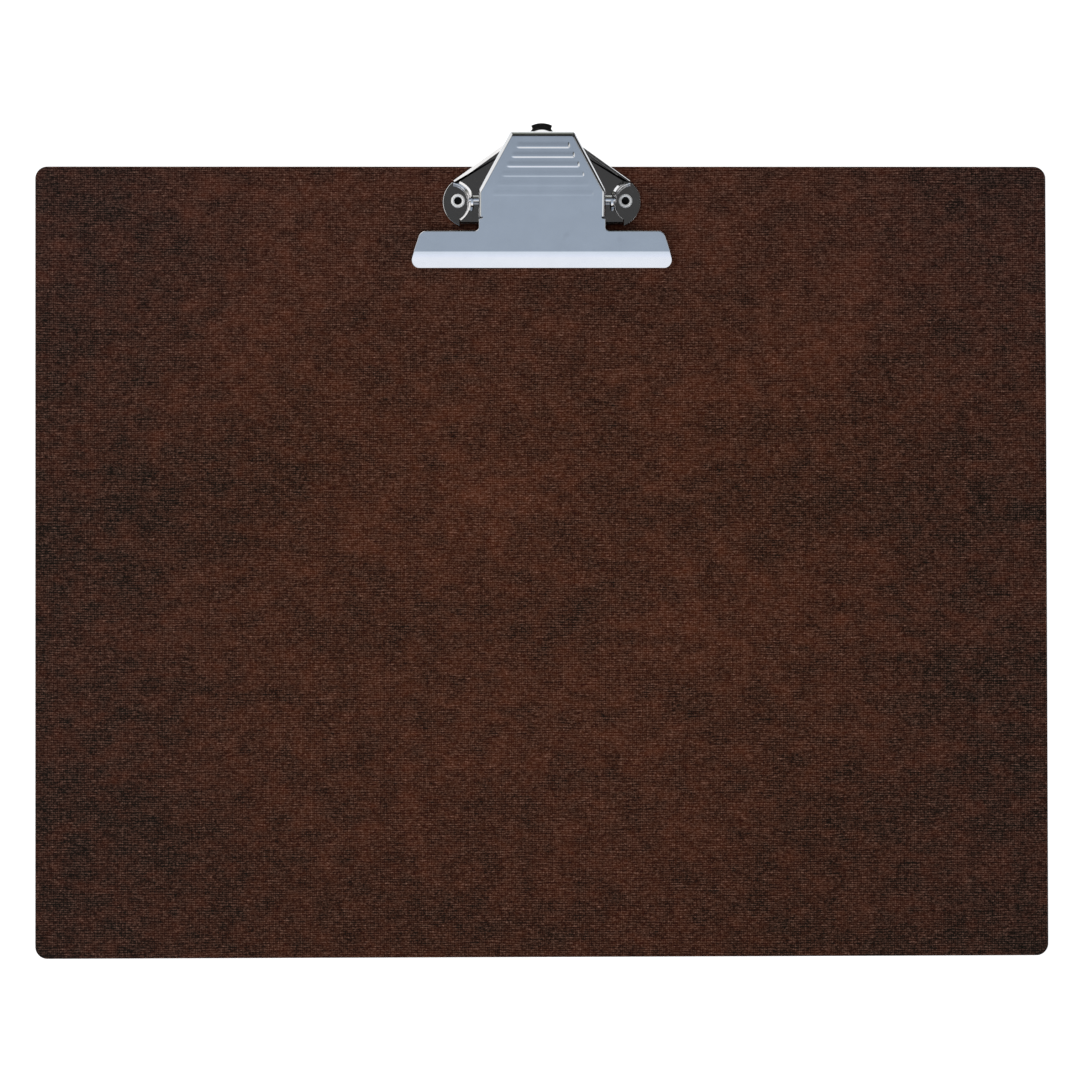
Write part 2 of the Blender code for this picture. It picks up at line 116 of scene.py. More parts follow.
HANG_HOLE_RADIUS = 6.0 * MM
HANG_HOLE_Y = 8.0 * MM
TONGUE_HALF_ROOT = 4.6 * MM
TONGUE_HALF_NECK = 3.55 * MM
TONGUE_HALF_HEAD = 4.1 * MM
TONGUE_NECK_Y = 14.35 * MM
TONGUE_HEAD_Y = 15.6 * MM
TONGUE_TIP_Y = 16.6 * MM
TONGUE_NECK_ROUND = 0.8 * MM
TONGUE_DIP = 16  # degrees

# Hinge
PIN_RADIUS = 1.4 * MM
PIN_Y = HINGE.y - EDGE_Y
PIN_Z = HINGE.z
PIN_HEAD_RADIUS = 1.9 * MM
PIN_HEAD_HEIGHT = 0.6 * MM

# Lever
LIP_EDGE = (-39.9 * MM, 4.2 * MM)
LIP_BEND = (-33.8 * MM, 9.0 * MM)
LEVER_END_Y = 11.4 * MM
FACE_RISE = tan(radians(20))
LEVER_HALF_END = 12.2 * MM
LEVER_HALF_WAIST = 24.6 * MM
LEVER_WAIST_Y = -10.5 * MM
SKIRT_FRONT_Y = -20.6 * MM
SKIRT_BOSS_RADIUS = 3.2 * MM
SKIRT_EDGE_SLOPE = 27.5
SKIRT_BEND = 1.5 * MM
END_BEND = 1.9 * MM
ARM_TOP_Y = -26.1 * MM
ARM_HALF_TOP = 47.3 * MM
ARM_HALF_BEND = 49.9 * MM
ARM_HALF_LIP = 51.9 * MM
LIP_CORNER_RADIUS = 2.9 * MM
LIP_BOW = 0.035  # how much steeper the lip's flat lower part is than its chord
LIP_BEND_RADIUS = 1.6 * MM
LIP_RISE = (LIP_BEND[1] - LIP_EDGE[1]) / (LIP_BEND[0] - LIP_EDGE[0])  # slope of the lip's chord
NOTCH_Y = SKIRT_FRONT_Y - 1.1 * MM  # front end of the relief notch before each side of the skirt
NECK_FILLET = 1.6 * MM
RIB_PITCH = 3.55 * MM
RIB_FIRST_Y = 5.6 * MM
RIB_HALF_FIRST = 10.7 * MM
RIB_HALF_STEP = 1.88 * MM
RIB_STEEP = 0.95 * MM  # from the rib's ridge down to the face, towards the lip
RIB_GENTLE = 1.95 * MM  # the same towards the finger end
RIB_MARGIN = 0.15 * MM
WAIST_ROUND = 1.5 * MM
RIB_HEIGHTS = [0.28 * MM, 0.28 * MM, 0.25 * MM, 0.13 * MM, 0.07 * MM, 0.08 * MM]

# Torsion spring
WIRE_RADIUS = 0.8 * MM
COIL_RADIUS = 2.7 * MM
COIL_INNER_X = 5.4 * MM
COIL_PITCH = 1.75 * MM
COIL_TURNS = 4
LEG_LENGTH = 13.0 * MM
BAIL_LENGTH = 11.0 * MM
BAIL_SLOPE = 20
BAIL_HOLD = 45  # degrees of the coil that turn with the bail and cover the join


# ---------------------------------------------------------------- shapes


def arc(center, radius, start, end, steps):
    """Points on a circle from the start to the end angle in degrees, both included."""
    angles = [radians(start + (end - start) * i / steps) for i in range(steps + 1)]
    return [(center[0] + radius * cos(a), center[1] + radius * sin(a)) for a in angles]


def fillet(before, corner, after, radius, steps=8):
    """The corner's round: an arc of this radius that touches both sides."""
    corner = Vector(corner)
    to_before = (Vector(before) - corner).normalized()
    to_after = (Vector(after) - corner).normalized()
    half = to_before.angle(to_after) / 2
    middle = corner + (to_before + to_after).normalized() * radius / sin(half)
    first = corner + to_before * radius / tan(half) - middle
    last = corner + to_after * radius / tan(half) - middle
    start = atan2(first.y, first.x)
    turn = (atan2(last.y, last.x) - start + pi) % (2 * pi) - pi
    return arc(middle, radius, degrees(start), degrees(start + turn), steps)


def between(first, last, steps):
    """Points on a straight run, both ends included."""
    return [tuple(Vector(first).lerp(Vector(last), i / steps)) for i in range(steps + 1)]


def mirrored(points):
    return [(-p[0], *p[1:]) for p in reversed(points)]


class Skin:
    """Collects the faces of one piece and joins those that share points."""

    def __init__(self):
        self.work = bmesh.new()
        self.found = {}

    def vert(self, point):
        key = tuple(round(c / TINY) for c in point)
        if key not in self.found:
            self.found[key] = self.work.verts.new(point)
        return self.found[key]

    def face(self, points):
        verts = []
        for point in points:
            vert = self.vert(point)
            if vert not in verts:
                verts.append(vert)
        if len(verts) > 2 and self.work.faces.get(verts) is None:
            self.work.faces.new(verts)

    def strip(self, rows, closed=False):
        """Quads between rows of equally many points."""
        for low, high in zip(rows, rows[1:]):
            count = len(low)
            for i in range(count if closed else count - 1):
                j = (i + 1) % count
                self.face([low[i], low[j], high[j], high[i]])

    def plate(self, outline, holes):
        """A flat face with holes."""
        loops = [outline, *holes]
        points = [p for loop in loops for p in loop]
        for corner in tessellate_polygon([[Vector(p) / MM for p in loop] for loop in loops]):
            self.face([points[i] for i in corner])

    def mirror(self):
        """Adds the same faces at minus x."""
        for face in list(self.work.faces):
            self.face([(-v.co.x, v.co.y, v.co.z) for v in face.verts])

    def object(self, name, placed=CLIP):
        """The piece as an object, with its first side turned up or outward."""
        bmesh.ops.remove_doubles(self.work, verts=self.work.verts, dist=JOINED)
        bmesh.ops.recalc_face_normals(self.work, faces=self.work.faces)
        flat = max(self.work.faces, key=lambda f: abs(f.normal.z) * f.calc_area())
        if not any(e.is_boundary for e in self.work.edges):
            flat = max(self.work.faces, key=lambda f: f.calc_center_median().z + f.normal.z * MM)
        if flat.normal.z < 0:
            bmesh.ops.reverse_faces(self.work, faces=self.work.faces)
        mesh = bpy.data.meshes.new(name)
        self.work.to_mesh(mesh)
        self.work.free()
        mesh.transform(placed)
        made = bpy.data.objects.new(name, mesh)
        bpy.context.scene.collection.objects.link(made)
        return made


def modifier(piece, kind, **settings):
    made = piece.modifiers.new(kind.lower(), kind)
    for key, value in settings.items():
        setattr(made, key, value)
    return made


def cut(piece, radius, start, end):
    """Cuts a round hole between two points, in the clip's drawing."""
    start, end = CLIP @ Vector(start), CLIP @ Vector(end)
    bpy.ops.mesh.primitive_cylinder_add(vertices=48, radius=radius, depth=(end - start).length)
    tool = bpy.context.object
    turn = (end - start).to_track_quat("Z", "Y").to_matrix().to_4x4()
    tool.matrix_world = Matrix.Translation((start + end) / 2) @ turn
    modifier(piece, "BOOLEAN", operation="DIFFERENCE", solver="EXACT", object=tool)


def settled(piece, angle=38):
    """Applies the modifiers and shades the mesh smooth, with its flats kept flat."""
    tools = [m.object for m in piece.modifiers if m.type == "BOOLEAN"]
    bpy.context.view_layer.update()
    graph = bpy.context.evaluated_depsgraph_get()
    mesh = bpy.data.meshes.new_from_object(piece.evaluated_get(graph))
    mesh.name = piece.name
    piece.modifiers.clear()
    piece.data = mesh
    for tool in tools:
        bpy.data.objects.remove(tool)
    mesh.shade_smooth()
    mesh.set_sharp_from_angle(angle=radians(angle))
    modifier(piece, "WEIGHTED_NORMAL", weight=60, keep_sharp=True)
    return piece


def pressed(piece):
    """Gives a sheet its thickness, under or inside the drawn face."""
    modifier(piece, "SOLIDIFY", thickness=SHEET, offset=-1, use_even_offset=True)
    return piece


def dulled(piece, width, chosen):
    """Rounds the sharp edges whose two ends both pass the test, given in the clip's drawing."""
    settled(piece)
    piece.modifiers.clear()
    mesh = piece.data
    work = bmesh.new()
    work.from_mesh(mesh)
    weight = work.edges.layers.float.new("bevel_weight_edge")
    back = CLIP.inverted()
    for edge in work.edges:
        if len(edge.link_faces) == 2 and edge.calc_face_angle() > radians(SHARP):
            edge[weight] = all(chosen(back @ v.co) for v in edge.verts)
    work.to_mesh(mesh)
    work.free()
    modifier(piece, "BEVEL", width=width, segments=4, limit_method="WEIGHT", use_clamp_overlap=True)


def edged(piece):
    """Rounds every sharp edge a little."""
    modifier(
        piece,
        "BEVEL",
        width=EDGE_ROUND,
        segments=3,
        limit_method="ANGLE",
        angle_limit=radians(50),
        use_clamp_overlap=True,
        miter_outer="MITER_ARC",
    )
    return piece


def turned(name, profile, steps, placed):
    """A closed turned solid from (radius, height) points that start and end on the axis."""
    skin = Skin()
    rows = []
    for i in range(steps):
        a = 2 * pi * i / steps
        rows.append([(r * cos(a), r * sin(a), h) for r, h in profile])
    skin.strip([*rows, rows[0]])
    return skin.object(name, placed)


# ---------------------------------------------------------------- board


def board_outline(inset):
    x = BOARD_HIGH.x - inset
    y = BOARD_HIGH.y - inset
    corners = [(x, -y), (x, y), (-x, y), (-x, -y)]
    outline = []
    for i, corner in enumerate(corners):
        after = corners[(i + 1) % 4]
        outline += fillet(corners[i - 1], corner, after, BOARD_CORNER_RADIUS - inset, 12)
    return outline


def circle(x, y, radius, z, steps=48):
    return [(*p, z) for p in arc((x, y), radius, 0, 360 - 360 / steps, steps - 1)]


def make_board():
    """Hardboard sheet with eased edges, two rivet holes and a recess for each rivet's head."""
    skin = Skin()
    ease = BOARD_EDGE_ROUND
    profile = [(ease - x, FRONT_Z - ease + z) for x, z in arc((0, 0), ease, 90, 0, 4)]
    profile += [(inset, FRONT_Z - z) for inset, z in reversed(profile)]
    rings = [[(*p, z) for p in board_outline(inset)] for inset, z in profile]
    skin.strip(rings, closed=True)
    recess = RIVET_HEAD_BACK + RIVET_HEAD_HEIGHT + GAP
    top_holes, back_holes = [], []
    for side in (-1, 1):
        x, y = side * RIVET_X, RIVET_Y + EDGE_Y
        bore, sink = RIVET_SHANK + GAP, RIVET_HEAD + GAP
        walls = [circle(x, y, bore, FRONT_Z), circle(x, y, bore, recess)]
        walls += [circle(x, y, sink, recess), circle(x, y, sink, 0)]
        skin.strip(walls, closed=True)
        top_holes.append(walls[0])
        back_holes.append(walls[-1])
    skin.plate(rings[0], top_holes)
    skin.plate(rings[-1], back_holes)
    return settled(skin.object("board_panel", Matrix.Identity(4)))


# ---------------------------------------------------------------- base plate


def ear_height(y):
    """Height of the ear's edge at a point this far from the board's edge."""
    tip = arc((PIN_Y, PIN_Z), EAR_TIP_RADIUS, *EAR_TIP_ANGLES, 24)
    line = [(EAR_FRONT_Y, FLOOR_TOP + GAP), *tip, (EAR_REAR_Y, FLOOR_TOP)]
    return float(np.interp(y, [p[0] for p in line], [p[1] for p in line]))


def step_point(angle, radius, z):
    a = radians(angle)
    return (STEP_CENTER[0] + radius * cos(a), STEP_CENTER[1] + radius * sin(a), z)


def step_wall(skin, angles):
    """Part of the round step between wing and raised middle. Returns its upper and lower edges."""
    foot = [(STEP_RADIUS - u, WING_TOP + v) for u, v in arc((STEP_FOOT, STEP_FOOT), STEP_FOOT, 180, 270, 5)]
    bend = arc((STEP_RADIUS + STEP_BEND, FLOOR_TOP - STEP_BEND), STEP_BEND, 180, 90, 8)
    rows = [[step_point(a, r, z) for a in angles] for r, z in [*reversed(foot), *bend]]
    skin.strip(rows)
    return rows[-1], rows[0]


def make_ear(skin, rim):
    """The ear's outer face, turned up from the rim of the raised middle."""
    start, end = EAR_ANGLES
    angles = spread(start, end, 0.8)
    rows = [rim]
    for t in (0, 30, 60, 90):
        r = EAR_RADIUS - EAR_CREASE * (1 - sin(radians(t)))
        rows.append([step_point(a, r, FLOOR_TOP + EAR_CREASE * (1 - cos(radians(t)))) for a in angles])
    foot = rows[-1]
    for share in (0.25, 0.5, 0.75, 1):
        rows.append([(x, y, z + max(ear_height(y) - z, EAR_LEAST) * share) for x, y, z in foot])
    skin.strip(rows)


def spread(start, end, step):
    count = max(1, round(abs(end - start) / step))
    return [start + (end - start) * i / count for i in range(count + 1)]


def flange(skin, first, last, outward, bend):
    """A straight edge of the raised middle, turned down to the board. Returns its upper edge."""
    rows = []
    low = WING_TOP - SHEET
    radius, start, end = bend
    turn = []
    for t in np.radians(np.linspace(start, end, 11)):
        turn.append((radius * (sin(t) - sin(radians(end))), radius * (cos(radians(start)) - cos(t))))
    for out, drop in [*turn, (0, FLOOR_TOP - low)]:
        ends = [(p[0] + outward[0] * out, p[1] + outward[1] * out, FLOOR_TOP - drop) for p in (first, last)]
        rows.append(between(*ends, 24))
    skin.strip(rows)
    return rows[0]


def on_wing_edge(point):
    """Whether a point lies on the upper edge of a wing's round outside."""
    if abs(point.z - WING_TOP) > 0.01 * MM:
        return False
    from_center = Vector((abs(point.x) - WING_CENTER[0], point.y - WING_CENTER[1])).length
    return abs(from_center - WING_RADIUS) < 0.01 * MM


def make_base_plate():
    """One pressed plate: raised middle with turned-down edges, round steps, wings, ears, tongue."""
    skin = Skin()
    front_x = STEP_CENTER[0] + STEP_RADIUS * cos(radians(STEP_ANGLES[0]))
    front = flange(skin, (0, FLOOR_FRONT_Y), (front_x - GAP, FLOOR_FRONT_Y), (0, -1), FRONT_BEND)

    start, end = STEP_ANGLES
    ear_start, ear_end = EAR_ANGLES
    lower, lower_foot = step_wall(skin, spread(start, ear_start, 3))
    rim, ear_foot = step_wall(skin, spread(ear_start, ear_end, 0.8))
    upper, upper_foot = step_wall(skin, spread(ear_end, end, 3))
    make_ear(skin, rim)
    behind_ear = EAR_RADIUS + SHEET + SLIT
    slit = [step_point(a, behind_ear, FLOOR_TOP) for a in spread(ear_start, ear_end, 3)]

    slope = radians(SIDE_SLOPE)
    touch = (WING_CENTER[0] + WING_RADIUS * sin(slope), WING_CENTER[1] + WING_RADIUS * cos(slope))
    end_x = touch[0] - (FLOOR_END_Y - touch[1]) / tan(slope)
    side = flange(skin, touch, (end_x, FLOOR_END_Y), (sin(slope), cos(slope)), SIDE_BEND)

    hole_angle = degrees(np.arcsin((FLOOR_END_Y - HANG_HOLE_Y) / HANG_HOLE_RADIUS))
    hole = arc((0, HANG_HOLE_Y), HANG_HOLE_RADIUS, hole_angle, -90, 40)
    rear = [(side[-1][0], FLOOR_END_Y), (TONGUE_HALF_ROOT, FLOOR_END_Y), *hole]
    right = [*front, *lower, *slit, *upper, *side, *[(x, y, FLOOR_TOP) for x, y in rear[1:]]]
    skin.face(right)

    outside = arc(WING_CENTER, WING_RADIUS, 90 - SIDE_SLOPE - WING_START_BACK, WING_END_ANGLE, 48)
    foot = [*lower_foot, *ear_foot, *upper_foot]
    wing = [*[(x, y, WING_TOP) for x, y in outside], (foot[0][0], FLOOR_FRONT_Y + GAP, WING_TOP), *foot]
    skin.face(wing)

    reach = TONGUE_TIP_Y - TONGUE_HEAD_Y
    radius = (TONGUE_HALF_HEAD**2 + reach**2) / (2 * reach)
    spread_angle = degrees(atan2(TONGUE_HALF_HEAD, radius - reach))
    head = arc((0, TONGUE_TIP_Y - radius), radius, 90 - spread_angle, 90, 12)
    root = (TONGUE_HALF_ROOT, FLOOR_END_Y)
    neck = fillet(root, (TONGUE_HALF_NECK, TONGUE_NECK_Y), head[0], TONGUE_NECK_ROUND, 5)
    top = arc((0, HANG_HOLE_Y), HANG_HOLE_RADIUS, 90, hole_angle, 10)
    tongue = [root, *neck, *head, *top]
    dip = tan(radians(TONGUE_DIP))
    skin.face([(x, y, FLOOR_TOP - (y - FLOOR_END_Y) * dip) for x, y in tongue])

    skin.mirror()
    base = pressed(skin.object("base_plate_pressing"))
    reach = 40 * MM
    cut(base, PIN_RADIUS + GAP / 2, (-reach, PIN_Y, PIN_Z), (reach, PIN_Y, PIN_Z))
    for side in (-1, 1):
        x = side * RIVET_X
        cut(base, RIVET_SHANK + GAP / 2, (x, RIVET_Y, 0), (x, RIVET_Y, 2 * WING_TOP))
    dulled(base, CUT_EDGE, on_wing_edge)
    return settled(edged(base))


# ---------------------------------------------------------------- lever


def face_height(y):
    return LIP_BEND[1] + (y - LIP_BEND[0]) * FACE_RISE


def skirt_low(y):
    """Height of the skirt's lower edge, which is deepest around the pin."""
    tilt = radians(SKIRT_EDGE_SLOPE)
    boss = arc((PIN_Y, PIN_Z), SKIRT_BOSS_RADIUS, 190, 270 + SKIRT_EDGE_SLOPE, 16)
    reach = LEVER_END_Y + SHEET - PIN_Y
    far = (PIN_Y + reach, PIN_Z - SKIRT_BOSS_RADIUS / cos(tilt) + reach * tan(tilt))
    line = [(SKIRT_FRONT_Y - GAP, face_height(SKIRT_FRONT_Y) - 2 * SHEET), *boss, far]
    return float(np.interp(y, [p[0] for p in line], [p[1] for p in line]))


def bend_offset(depth, rise, bend):
    """How far inside the wall the sheet is, this far below the face, on a bend of this radius."""
    line = fillet((-FAR, -FAR * rise), (0, 0), (0, -FAR), bend, 24)
    depths = [x * rise - z for x, z in line]
    return float(np.interp(depth, depths, [x for x, _ in line]))


def crossing(point_a, along_a, point_b, along_b):
    """Where two straight lines of the plan meet."""
    cross = along_a.x * along_b.y - along_a.y * along_b.x
    gap = point_b - point_a
    return point_a + along_a * ((gap.x * along_b.y - gap.y * along_b.x) / cross)


def rib_cuts():
    """The lines across the lever where the ribs' patches start and end, from the lip's side on."""
    cuts = []
    for index in reversed(range(len(RIB_HEIGHTS))):
        middle_y = RIB_FIRST_Y - index * RIB_PITCH
        cuts += [middle_y - RIB_STEEP - RIB_MARGIN, middle_y + RIB_GENTLE + RIB_MARGIN]
    return cuts


RUN_STOPS = {}


def run_between(first, last, depth):
    """Points on one straight side of a ring, with the same stops on every ring, one at each rib cut."""
    first, last = Vector(first), Vector(last)
    side = "front" if last.y < LEVER_WAIST_Y else "rear"
    if depth == 0:
        reach = last.y - first.y
        stops = [(y - first.y) / reach for y in rib_cuts() if first.y < y < last.y]
        even = [i / 22 for i in range(23)]
        RUN_STOPS[side] = sorted(stops + [s for s in even if all(abs(s - t) > 0.012 for t in stops)])
    return [tuple(first.lerp(last, s)) for s in RUN_STOPS[side]]


def skirt_ring(depth):
    """Plan of the lever's turned-down edge this far below its face: right skirt, then finger end."""
    front = Vector((LEVER_HALF_WAIST, SKIRT_FRONT_Y))
    waist = Vector((LEVER_HALF_WAIST, LEVER_WAIST_Y))
    end = Vector((LEVER_HALF_END, LEVER_END_Y))
    taper = (end - waist).normalized()
    runs = [(front, Vector((0, 1)), SKIRT_BEND), (waist, taper, SKIRT_BEND)]
    runs += [(end, Vector((-1, 0)), END_BEND)]
    lines = []
    for point, along, bend in runs:
        out = Vector((along.y, -along.x))
        moved = bend_offset(depth, out.y * FACE_RISE, bend)
        lines.append((point + out * moved, along))
    start = lines[0][0]
    at_waist = crossing(*lines[0], *lines[1])
    at_end = crossing(*lines[1], *lines[2])
    inward = LEVER_HALF_END - at_end.x
    round_end = 1.0 * MM - 0.7 * inward
    middle = (0, lines[2][0].y)
    waist_round = fillet(start, at_waist, at_end, WAIST_ROUND, 6)
    end_round = [tuple(at_end)] * 9
    if round_end > 0.1 * MM:
        end_round = fillet(at_waist, at_end, middle, round_end, 8)
    ring = run_between(start, waist_round[0], depth)[:-1]
    ring += waist_round
    ring += run_between(waist_round[-1], end_round[0], depth)[1:-1]
    ring += end_round
    ring += between(end_round[-1], middle, 8)[1:]
    return ring


def make_skirt(skin):
    """Right half of the skirt. Returns its edge on the lever's face."""
    deepest = max(-z for _, z in fillet((-1, -FACE_RISE), (0, 0), (0, -1), END_BEND, 4))
    depths = [deepest * (1 - cos(radians(t))) for t in range(0, 91, 6)]
    rows = []
    for depth in depths:
        ring = skirt_ring(depth)
        rows.append([(x, y, max(face_height(y) - depth, skirt_low(y))) for x, y in ring])
    rows.append([(x, y, skirt_low(y)) for x, y, _ in rows[-1]])
    skin.strip(rows)
    return rows[0]


def on_face(x, y, lift=0.0):
    slope = atan2(FACE_RISE, 1)
    return (x, y - lift * sin(slope), face_height(y) + lift * cos(slope))


def make_rib(skin, index):
    """An embossed grip rib with round ends. Returns its patch of the face, row by row."""
    height = RIB_HEIGHTS[index]
    middle_y = RIB_FIRST_Y - index * RIB_PITCH
    half = RIB_HALF_FIRST + index * RIB_HALF_STEP
    straight = half - RIB_STEEP
    fade = half - RIB_GENTLE
    right = np.linspace(straight - 0.1 * MM, half + RIB_MARGIN, 17)
    left = np.linspace(-half - RIB_MARGIN, 0.1 * MM - fade, 17)
    columns = [*left, *right]
    rows = []
    for v in np.linspace(-RIB_STEEP - RIB_MARGIN, RIB_GENTLE + RIB_MARGIN, 33):
        row = []
        for x in columns:
            along = max((x - straight) / RIB_STEEP, (-x - fade) / RIB_GENTLE, 0)
            across = v / (RIB_STEEP if v < 0 else RIB_GENTLE)
            away = min(sqrt(along**2 + across**2), 1.0)
            lift = height * (0.5 + 0.5 * cos(pi * away))
            row.append(on_face(x, middle_y + v, lift))
        rows.append(row)
    skin.strip(rows)
    return rows


def make_lip(skin, half_plan):
    """The jaw: the face's bend and the lip below it, in strips right across."""
    steep = LIP_RISE + LIP_BOW
    bend = fillet(LIP_EDGE, LIP_BEND, (0, face_height(0)), LIP_BEND_RADIUS, 6)
    bend_y = bend[0][0]
    low = [p for p in half_plan if p[1] < bend_y - GAP]
    flat = [(x, y, LIP_EDGE[1] + (y - LIP_EDGE[0]) * steep) for x, y in low]
    skin.face([*flat, *mirrored(flat)])
    widths = sorted((y, x) for x, y in half_plan if y < ARM_TOP_Y - LIP_CORNER_RADIUS)
    flat_y = flat[-1][1]
    reach = bend_y - flat_y
    bowed = []
    for share in np.linspace(0, 1, 7)[1:-1]:
        curve = LIP_BOW * (1 + (flat_y - LIP_EDGE[0]) / reach) * share**2
        bowed.append((flat_y + reach * share, flat[-1][2] + reach * (steep * share - curve)))
    rows = [flat[-1]]
    for y, z in [*bowed, *bend]:
        x = float(np.interp(y, [w[0] for w in widths], [w[1] for w in widths]))
        rows.append((x, y, z))
    skin.strip([[(-x, y, z), (x, y, z)] for x, y, z in rows])
    return rows[-1]


def face_across(skin, side, below, above):
    """The flat part of the face between two rows of points, or to its end where a row is empty."""
    low = below[0][1] if below else -1.0
    high = above[0][1] if above else 1.0
    beside = [p for p in side if low - TINY < p[1] < high + TINY]
    skin.face([*below, *beside, *reversed(above), *mirrored(beside)])


def on_arm_edge(point):
    """Whether a point lies on the upper side of the arms or the lip."""
    if point.y > NOTCH_Y + 0.05 * MM:
        return False
    height = min(face_height(point.y), LIP_EDGE[1] + (point.y - LIP_EDGE[0]) * LIP_RISE)
    return point.z > height - SHEET / 2


def make_lever_plate():
    """One pressed plate: ribbed face, turned-down sides and finger end, arms and lip."""
    skin = Skin()
    inner = make_skirt(skin)
    skin.mirror()

    shoulder = (ARM_HALF_TOP, ARM_TOP_Y)
    bend = (ARM_HALF_BEND, LIP_BEND[0])
    neck_corner = (LEVER_HALF_WAIST, ARM_TOP_Y)
    lip = (ARM_HALF_LIP, LIP_EDGE[0])
    lip_side = [*fillet((0, LIP_EDGE[0]), lip, bend, LIP_CORNER_RADIUS, 10), bend]
    arm = fillet(bend, shoulder, neck_corner, LIP_CORNER_RADIUS, 10)
    neck = fillet(shoulder, neck_corner, (LEVER_HALF_WAIST, 0), NECK_FILLET, 8)
    last = make_lip(skin, [*lip_side, *arm])
    notch_x = inner[0][0] - 0.1 * MM
    notch = [(LEVER_HALF_WAIST, NOTCH_Y)]
    notch += [(notch_x + 0.35 * MM, NOTCH_Y + 0.3 * MM), (notch_x, NOTCH_Y + 0.65 * MM)]
    side = [last, *[on_face(x, y) for x, y in [*arm, *neck, *notch]], *inner]
    below = []
    for index in reversed(range(len(RIB_HEIGHTS))):
        rib = make_rib(skin, index)
        bottom, top = rib[0][0][1], rib[-1][0][1]
        face_across(skin, side, below, rib[0])
        beside = [p for p in side if bottom - TINY < p[1] < top + TINY]
        right = beside + [row[-1] for row in reversed(rib)]
        skin.face(right)
        skin.face(mirrored(right))
        below = rib[-1]
    face_across(skin, side, below, [])

    lever = pressed(skin.object("lever_pressing"))
    reach = 30 * MM
    cut(lever, PIN_RADIUS + GAP / 2, (-reach, PIN_Y, PIN_Z), (reach, PIN_Y, PIN_Z))
    dulled(lever, CUT_EDGE, on_arm_edge)
    return settled(edged(lever))


# ---------------------------------------------------------------- pin, rivets, spring


def make_pin():
    """Plain pin with a low domed head outside each ear."""
    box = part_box("hinge_pin")
    half = box[1].x
    neck = half - PIN_HEAD_HEIGHT
    dome = []
    for t in range(90, -1, -6):
        dome.append((PIN_HEAD_RADIUS * cos(radians(t)), neck + PIN_HEAD_HEIGHT * sin(radians(t))))
    dome[0] = (0.0, half)
    side = [*dome, (PIN_HEAD_RADIUS, neck - 0.05 * MM), (PIN_RADIUS + 0.05 * MM, neck - 0.1 * MM)]
    side += [(PIN_RADIUS, neck - 0.2 * MM), (PIN_RADIUS, 0.0)]
    profile = side + [(r, -h) for r, h in reversed(side[:-1])]
    placed = CLIP @ Matrix.Translation((0, PIN_Y, PIN_Z)) @ Matrix.Rotation(pi / 2, 4, "Y")
    return settled(turned("hinge_pin_steel", profile, 64, placed))


def make_rivet(side):
    """Semi-tubular rivet: rolled rim and blind bore at the front, low domed head at the back."""
    bottom = WING_TOP + 0.02 * MM
    top = WING_TOP + GAP + RIVET_RIM_HEIGHT
    roll = (RIVET_RIM - RIVET_BORE) / 2
    middle = (RIVET_BORE + roll, top - roll)
    head_top = RIVET_HEAD_BACK + RIVET_HEAD_HEIGHT
    back = RIVET_HEAD_BACK
    profile = [
        (0, RIVET_BORE_FLOOR),
        (RIVET_BORE * 0.6, RIVET_BORE_FLOOR + 0.05 * MM),
        (RIVET_BORE, RIVET_BORE_FLOOR + 0.5 * MM),
        *arc(middle, roll, 180, -15, 18),
        (RIVET_RIM - 0.15 * MM, bottom + 0.1 * MM),
        (RIVET_RIM - 0.3 * MM, bottom),
        (RIVET_SHANK, bottom),
        (RIVET_SHANK, head_top),
        (RIVET_HEAD - 0.15 * MM, head_top),
        *arc((RIVET_HEAD - 0.25 * MM, head_top - 0.25 * MM), 0.25 * MM, 60, 0, 4),
        (RIVET_HEAD - 0.05 * MM, back + 0.35 * MM),
        (RIVET_HEAD - 0.4 * MM, back + 0.12 * MM),
        (RIVET_HEAD - 1.2 * MM, back + 0.02 * MM),
        (0, back),
    ]
    name = "rivet_shank_left" if side < 0 else "rivet_shank_right"
    placed = CLIP @ Matrix.Translation((side * RIVET_X, RIVET_Y, 0))
    return settled(turned(name, profile, 72, placed))


def tube(name, routes, radius):
    """Round wire along each route, with flat ends."""
    skin = Skin()
    steps = 20
    for route in routes:
        points = [Vector(p) for p in route]
        rings = []
        across = None
        for i, point in enumerate(points):
            ahead = points[min(i + 1, len(points) - 1)] - points[max(i - 1, 0)]
            ahead.normalize()
            if across is None:
                across = ahead.orthogonal().normalized()
            across = (across - ahead * across.dot(ahead)).normalized()
            up = ahead.cross(across)
            ring = []
            for k in range(steps):
                a = 2 * pi * k / steps
                ring.append(tuple(point + radius * (cos(a) * across + sin(a) * up)))
            rings.append(ring)
        skin.strip(rings, closed=True)
        skin.face(rings[0])
        skin.face(rings[-1])
    placed = CLIP @ Matrix.Translation((0, PIN_Y, PIN_Z))
    return settled(skin.object(name, placed), 60)


def coil_point(sweep, turned_by):
    """A point of the right coil, this many degrees on from the leg."""
    outer_x = COIL_INNER_X + COIL_PITCH * sweep / 360
    a = radians(270 - turned_by)
    return (outer_x - COIL_PITCH * turned_by / 360, COIL_RADIUS * cos(a), COIL_RADIUS * sin(a))


